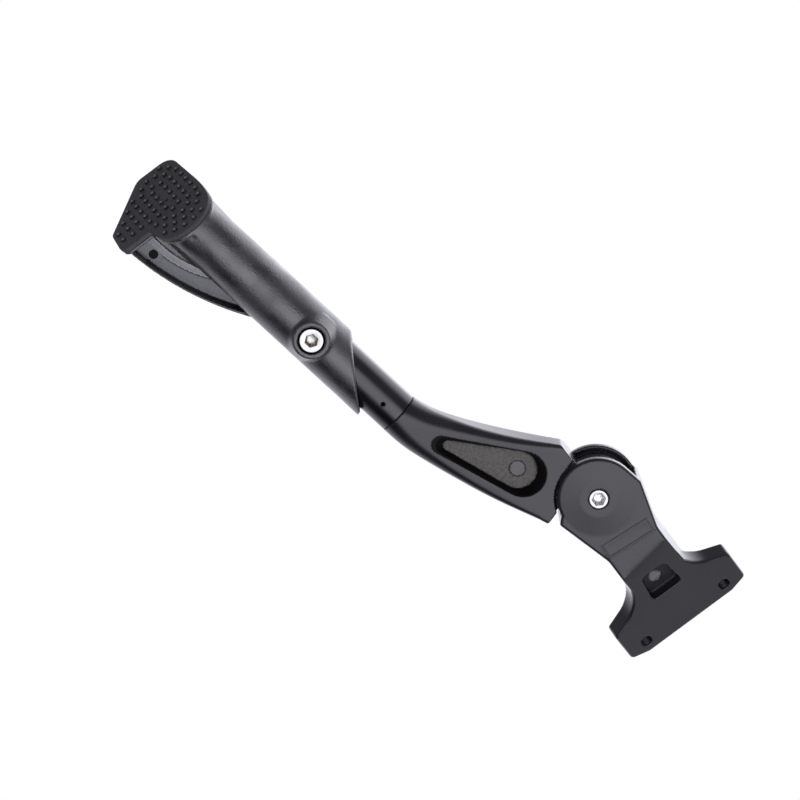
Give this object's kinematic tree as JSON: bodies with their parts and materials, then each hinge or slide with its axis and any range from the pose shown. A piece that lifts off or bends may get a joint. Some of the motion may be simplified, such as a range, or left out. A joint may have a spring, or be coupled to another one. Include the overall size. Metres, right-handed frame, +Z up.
{
  "type": "bicycle kickstand",
  "caption": "Adjustable rear kickstand for a bicycle: forked mounting bracket, swinging leg with a tube, and a clamped sliding foot with a rubber sole and kick tab",
  "frame": {"origin": "midway between the two frame bolt holes, on the flat mounting face", "axes": "X forward along the bolt line, Y outward away from the wheel, Z up; the mounting face looks along -Y"},
  "size_m": [0.1239, 0.1626, 0.2355],
  "materials": {
    "cast_black": "satin black powder coat on die cast alloy",
    "tube_black": "smooth black coat on drawn alloy tube",
    "foot_plastic": "fine grained black moulding",
    "sole_rubber": "matte black studded rubber",
    "bright_steel": "bright stainless screws",
    "pin_steel": "plain oiled steel",
    "bush_bronze": "sintered bronze bush"
  },
  "bodies": {
    "bracket": {"mount_bracket": "cast_black", "pivot_stub_inner": "bright_steel", "pivot_stub_outer": "bright_steel", "bracket_spring_pin": "pin_steel", "over_centre_spring": "pin_steel"},
    "leg": {"leg_knuckle": "cast_black", "pivot_bush_inner": "bush_bronze", "pivot_bush_outer": "bush_bronze", "leg_spring_pin": "pin_steel", "leg_tube": "tube_black", "tube_dowel": "pin_steel"},
    "foot": {"foot_sleeve": "foot_plastic", "sole_pad": "sole_rubber", "clamp_screw": "bright_steel", "clamp_nut": "pin_steel"}
  },
  "joints": [
    {"name": "leg_swing", "type": "hinge", "parent": "bracket", "child": "leg", "pos_m": [-0.0011, 0.02621, -0.06191], "axis": [-0.0958, 0.862, 0.4977], "range_deg": [0, 90], "deforming": ["over_centre_spring"]},
    {"name": "foot_slide", "type": "slide", "parent": "leg", "child": "foot", "axis": [0.1728, 0.5068, -0.8445], "range_m": [0, 0.05]}
  ]
}
